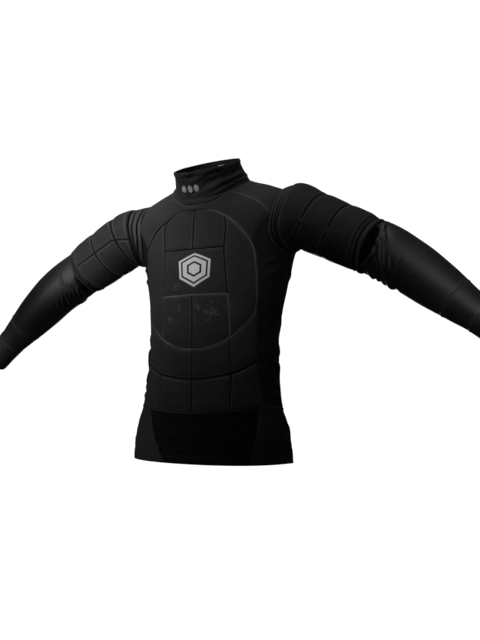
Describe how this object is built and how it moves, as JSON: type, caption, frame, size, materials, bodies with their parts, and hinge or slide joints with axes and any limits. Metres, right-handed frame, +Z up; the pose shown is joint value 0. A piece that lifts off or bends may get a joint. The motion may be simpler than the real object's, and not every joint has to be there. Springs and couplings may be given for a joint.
{
  "type": "padded compression shirt",
  "caption": "Long-sleeved padded compression shirt in its worn shape, with a standing collar, a quilted front and padded short over-sleeves.",
  "frame": {"origin": "in the neck, over the middle of the body's width and level with the side points of the neck, where the wearer's shoulders and neck hold the shirt up", "axes": "+Z up along the wearer's body, +X towards the wearer's left hand, -Y the way the wearer faces"},
  "size_m": [1.394, 0.2483, 0.7277],
  "materials": {
    "padded_cloth": "matte",
    "back_cloth": "matte",
    "side_mesh": "matte stretch mesh",
    "hem_mesh": "matte ribbed mesh",
    "gusset_cloth": "satin",
    "collar_cloth": "matte",
    "strip_cloth": "matte stretch",
    "sleeve_cloth": "shiny stretch",
    "cuff_cloth": "shiny stretch",
    "label_cloth": "matte"
  },
  "bodies": {
    "root": {"front_panel": "padded_cloth", "front_hem_panel": "hem_mesh", "back_panel": "back_cloth", "side_panel_left": "side_mesh", "side_panel_right": "side_mesh", "lower_side_left": "gusset_cloth", "lower_side_right": "gusset_cloth", "collar": "collar_cloth", "neck_label": "label_cloth", "armhole_strip_left": "strip_cloth", "armhole_strip_right": "strip_cloth", "over_sleeve_left": "padded_cloth", "over_sleeve_right": "padded_cloth", "sleeve_band_left": "padded_cloth", "sleeve_band_right": "padded_cloth", "under_sleeve_left": "sleeve_cloth", "under_sleeve_right": "sleeve_cloth", "wrist_sleeve_left": "sleeve_cloth", "wrist_sleeve_right": "sleeve_cloth", "cuff_left": "cuff_cloth", "cuff_right": "cuff_cloth"}
  },
  "joints": []
}
